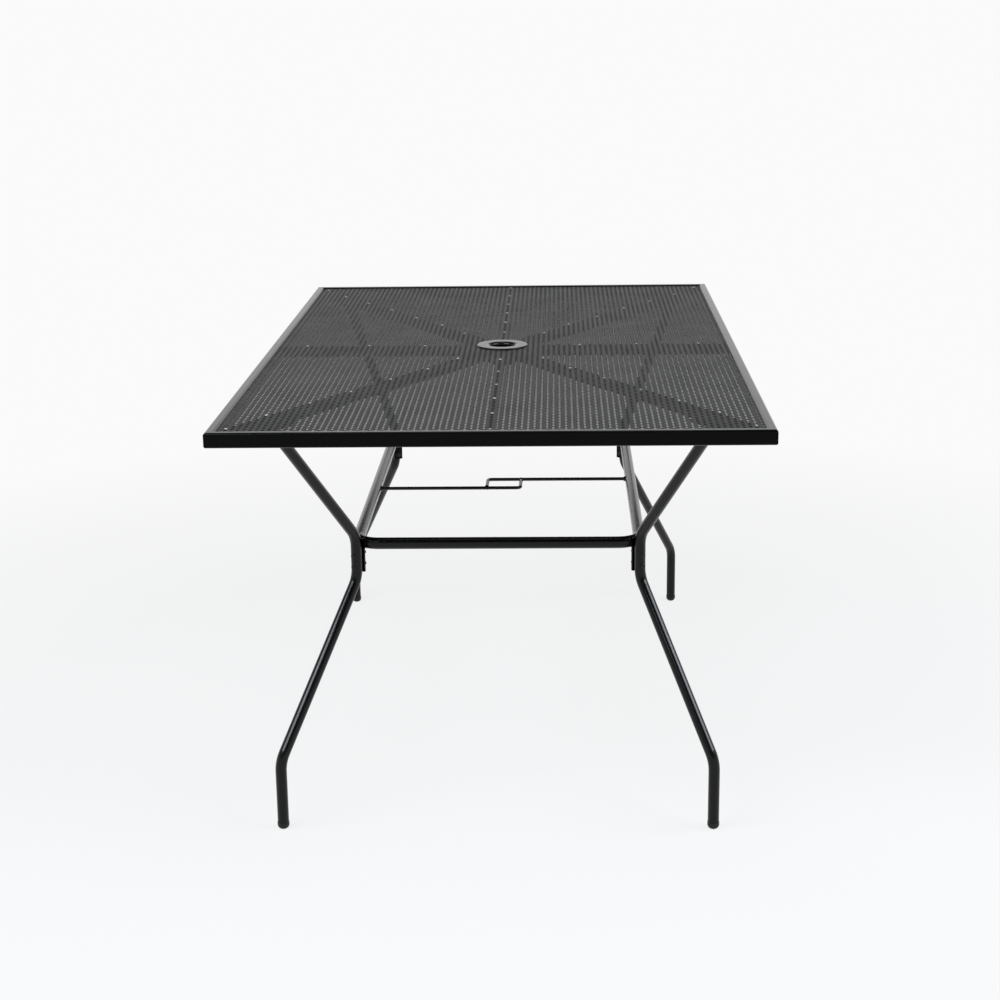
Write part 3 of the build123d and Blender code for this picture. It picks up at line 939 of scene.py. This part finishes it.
def sweep_paper():
    """White paper to the eye, which near the table takes a part of the real light."""
    material = bpy.data.materials.new("sweep_paper")
    material.use_nodes = True
    tree = material.node_tree
    tree.nodes.remove(tree.nodes["Principled BSDF"])
    rays = place(tree, "ShaderNodeLightPath").outputs
    seen = maths(tree, "MAXIMUM", rays["Is Camera Ray"], rays["Is Glossy Ray"])
    seen = maths(tree, "MAXIMUM", seen, rays["Is Transmission Ray"])
    where = place(tree, "ShaderNodeTexCoord").outputs["Object"]
    reach = place(tree, "ShaderNodeVectorMath", {"operation": "LENGTH"}, i0=where).outputs["Value"]
    glow = place(tree, "ShaderNodeMapRange", Value=reach, From_Min=shadow_near, From_Max=shadow_far,
                 To_Min=1 - shadow_share, To_Max=1.0).outputs[0]
    share = maths(tree, "MULTIPLY", seen, glow)
    paper = place(tree, "ShaderNodeBsdfDiffuse", Color=paper_white)
    white = place(tree, "ShaderNodeEmission", Color=sweep_white, Strength=1.0)
    mix = place(tree, "ShaderNodeMixShader", i0=share, i1=paper.outputs[0], i2=white.outputs[0])
    tree.links.new(mix.outputs[0], tree.nodes["Material Output"].inputs["Surface"])
    return material


floor = show("floor_sweep", sweep_mesh())
floor.data.materials.append(sweep_paper())
print("sweep", sweep_radius, "m in radius")

# %% [markdown]
# ## Light
# Two long soft boxes, high at the front left and at the right, draw the highlights down the lower legs.
# Each lies along the line that its leg mirrors to the camera, so that the highlight spreads across the
# tube. A smaller box overhead shines through the sheet onto the loop. The room above the wall is a soft
# grey, darker overhead, so that flat faces mirror the bright wall and round ones fade to black.

# %% Lamps and room
def soft_box(name, place_at, aim, along, length, width, brightness, colour):
    """An area lamp with its long side along a direction. Its brightness stays the same at any size."""
    light = bpy.data.lights.new(name, "AREA")
    light.shape = "RECTANGLE"
    light.size = length
    light.size_y = width
    light.energy = math.pi * length * width * brightness
    light.color = colour
    back = (Vector(place_at) - Vector(aim)).normalized()
    across = back.cross(Vector(along)).normalized()
    turn = Matrix((across.cross(back), across, back)).transposed()
    lamp = bpy.data.objects.new(name, light)
    lamp.matrix_world = Matrix.Translation(place_at) @ turn.to_4x4()
    bpy.context.scene.collection.objects.link(lamp)
    print("lamp", name, round(light.energy), "W")


cool = (0.84, 0.92, 1.0)
soft_box("box_left", place_at=(-1.78, -1.82, 2.90), aim=(-0.31, -0.52, 0.26), along=(-0.765, 0.630, -0.135),
         length=2.4, width=0.8, brightness=15, colour=cool)
soft_box("box_right", place_at=(2.50, -0.90, 2.62), aim=(0.31, -0.52, 0.26), along=(0.455, 0.795, -0.403),
         length=2.4, width=0.8, brightness=15, colour=cool)
soft_box("box_above", place_at=(0, -0.30, 3.40), aim=(0, -0.30, 0.45), along=(1, 0, 0),
         length=1.3, width=1.3, brightness=3, colour=cool)


low_grey = 0.45
high_grey = 0.1
fade_start = 0.15
fade_end = 0.7


def room_light():
    """A soft grey room that darkens overhead."""
    world = bpy.data.worlds.new("room")
    bpy.context.scene.world = world
    world.use_nodes = True
    tree = world.node_tree
    direction = place(tree, "ShaderNodeTexCoord").outputs["Generated"]
    up = place(tree, "ShaderNodeSeparateXYZ", Vector=direction).outputs["Z"]
    fade = place(tree, "ShaderNodeMapRange", Value=up, From_Min=fade_start, From_Max=fade_end,
                 To_Min=low_grey, To_Max=high_grey)
    grey = fade.outputs[0]
    glow = place(tree, "ShaderNodeCombineColor", Red=grey, Green=grey, Blue=grey)
    tree.links.new(glow.outputs[0], tree.nodes["Background"].inputs["Color"])


room_light()
bpy.context.scene.view_settings.view_transform = "Standard"
print("room light set")

# %% [markdown]
# ## Camera
# The camera stands at one short end, a little to the right and above the top, and looks slightly down. Its
# place, turn and lens were worked out from the corners of the top and the feet in the photograph.

# %% Camera
camera_place = Vector((0.107, -3.635, 1.401))
camera_yaw = math.radians(-1.82)
camera_pitch = math.radians(15.15)
camera_roll = math.radians(-0.76)
focal_pixels = 1897.6
frame_pixels = 1000

ahead = Vector((math.sin(camera_yaw) * math.cos(camera_pitch),
                math.cos(camera_yaw) * math.cos(camera_pitch),
                -math.sin(camera_pitch)))
level = Vector((math.cos(camera_yaw), -math.sin(camera_yaw), 0))
below = ahead.cross(level)
right = level * math.cos(camera_roll) - below * math.sin(camera_roll)
down = level * math.sin(camera_roll) + below * math.cos(camera_roll)

lens = bpy.data.cameras.new("camera")
lens.sensor_width = 36.0
lens.lens = focal_pixels / frame_pixels * lens.sensor_width
camera = bpy.data.objects.new("camera", lens)
turn = Matrix((right, -down, -ahead)).transposed()
camera.matrix_world = Matrix.Translation(camera_place) @ turn.to_4x4()
bpy.context.scene.collection.objects.link(camera)
bpy.context.scene.camera = camera
print("lens", round(lens.lens, 2), "mm")
